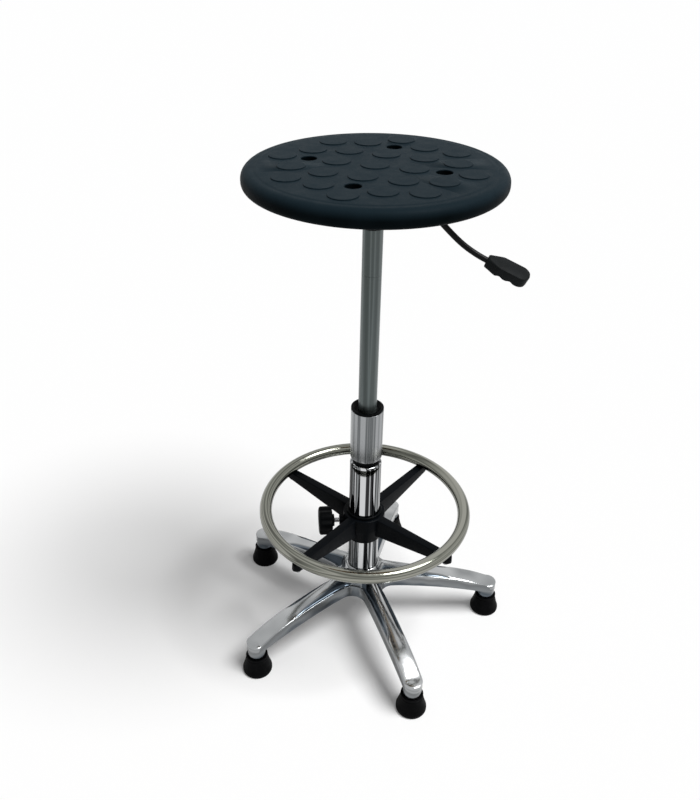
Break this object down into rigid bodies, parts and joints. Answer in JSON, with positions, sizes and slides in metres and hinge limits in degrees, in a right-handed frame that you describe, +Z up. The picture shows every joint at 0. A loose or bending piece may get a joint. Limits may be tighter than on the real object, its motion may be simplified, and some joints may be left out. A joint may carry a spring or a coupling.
{
  "type": "office stool",
  "caption": "Round foam work stool on a gas lift with a release lever, a sliding chrome foot ring and a five-arm cast base on rubber glides.",
  "frame": {"origin": "on the floor, under the middle of the stool's box; the column's axis stands 21.0 mm from it towards -X", "axes": "+Z up along the column; +X along the base arm of foot 1; +Y to the left of it seen from above"},
  "size_m": [0.4451, 0.4656, 0.7962],
  "materials": {
    "seat_skin": "satin moulded skin, very dark blue-black",
    "plywood": "raw birch plywood",
    "black_steel": "satin black paint on pressed steel",
    "black_plastic": "fine satin black moulding",
    "tube_grey": "semi-matt grey-green coat",
    "column_chrome": "bright plated steel",
    "ring_chrome": "bright plated steel tube",
    "base_alloy": "polished casting",
    "black_rubber": "moulded black rubber",
    "bright_steel": "machined or zinc-plated",
    "brass": "turned"
  },
  "bodies": {
    "stand": {"base": "base_alloy", "column": "column_chrome", "column_sleeve": "column_chrome", "guide_bush": "black_plastic", "column_cap": "black_plastic", "thrust_race_lower": "bright_steel", "thrust_bearing": "brass", "glide_1": "black_rubber", "glide_2": "black_rubber", "glide_3": "black_rubber", "glide_4": "black_rubber", "glide_5": "black_rubber", "glide_stem_1": "bright_steel", "glide_stem_2": "bright_steel", "glide_stem_3": "bright_steel", "glide_stem_4": "bright_steel", "glide_stem_5": "bright_steel"},
    "rod": {"piston_rod": "bright_steel", "piston": "brass", "bumper": "black_rubber", "thrust_race_upper": "bright_steel", "retaining_clip": "bright_steel"},
    "seat_unit": {"gas_cylinder": "tube_grey", "cylinder_gland": "brass", "taper_socket": "black_steel", "seat_pan": "black_steel", "seat_board": "plywood", "seat": "seat_skin", "lever_pivot_pin": "bright_steel", "seat_screw_1": "bright_steel", "seat_screw_2": "bright_steel", "seat_screw_3": "bright_steel", "seat_screw_4": "bright_steel"},
    "lever": {"lever_rod": "black_steel", "lever_handle": "black_plastic"},
    "valve_pin": {"release_pin": "bright_steel"},
    "foot_sleeve": {"foot_liner": "black_plastic"},
    "foot_rest": {"hub_quarter_1": "black_plastic", "hub_quarter_2": "black_plastic", "hub_quarter_3": "black_plastic", "hub_quarter_4": "black_plastic", "spoke_1": "black_plastic", "spoke_2": "black_plastic", "spoke_3": "black_plastic", "spoke_4": "black_plastic", "foot_ring": "ring_chrome", "ring_screw_1": "bright_steel", "ring_screw_2": "bright_steel", "ring_screw_3": "bright_steel", "ring_screw_4": "bright_steel"},
    "clamp_pad": {"clamp_shoe": "black_plastic"},
    "clamp": {"clamp_knob": "black_plastic", "clamp_stud": "bright_steel"}
  },
  "joints": [
    {"name": "seat_swivel", "type": "hinge", "parent": "stand", "child": "rod", "pos_m": [-0.02098, 0, 0.0717], "axis": [0, 0, 1], "continuous": true},
    {"name": "seat_lift", "type": "slide", "parent": "rod", "child": "seat_unit", "axis": [0, 0, 1], "range_m": [-0.245, 0]},
    {"name": "lever_lift", "type": "hinge", "parent": "seat_unit", "child": "lever", "pos_m": [-0.04938, -0.00967, 0.7597], "axis": [-0.3223, 0.9466, 0], "range_deg": [0, 6], "stiffness_Nm_per_rad": 10, "springref_deg": -2.86},
    {"name": "pin_press", "type": "slide", "parent": "seat_unit", "child": "valve_pin", "axis": [0, 0, -1], "range_m": [0, 0.0036]},
    {"name": "foot_height", "type": "slide", "parent": "stand", "child": "foot_sleeve", "axis": [0, 0, 1], "range_m": [-0.055, 0.09]},
    {"name": "foot_turn", "type": "hinge", "parent": "foot_sleeve", "child": "foot_rest", "pos_m": [-0.02098, 0, 0.2285], "axis": [0, 0, 1], "continuous": true},
    {"name": "pad_feed", "type": "slide", "parent": "foot_rest", "child": "clamp_pad", "axis": [0.7749, 0.632, 0], "range_m": [0, 0.0026]},
    {"name": "knob_turn", "type": "hinge", "parent": "clamp_pad", "child": "clamp", "pos_m": [0.02009, 0.0335, 0.2085], "axis": [0.7749, 0.632, 0], "range_deg": [0, 720]}
  ],
  "couplings": [
    {"joint": "pin_press", "follows": "lever_lift", "m_per_rad": 0.0335},
    {"joint": "pad_feed", "follows": "knob_turn", "m_per_rad": 0.000199}
  ]
}
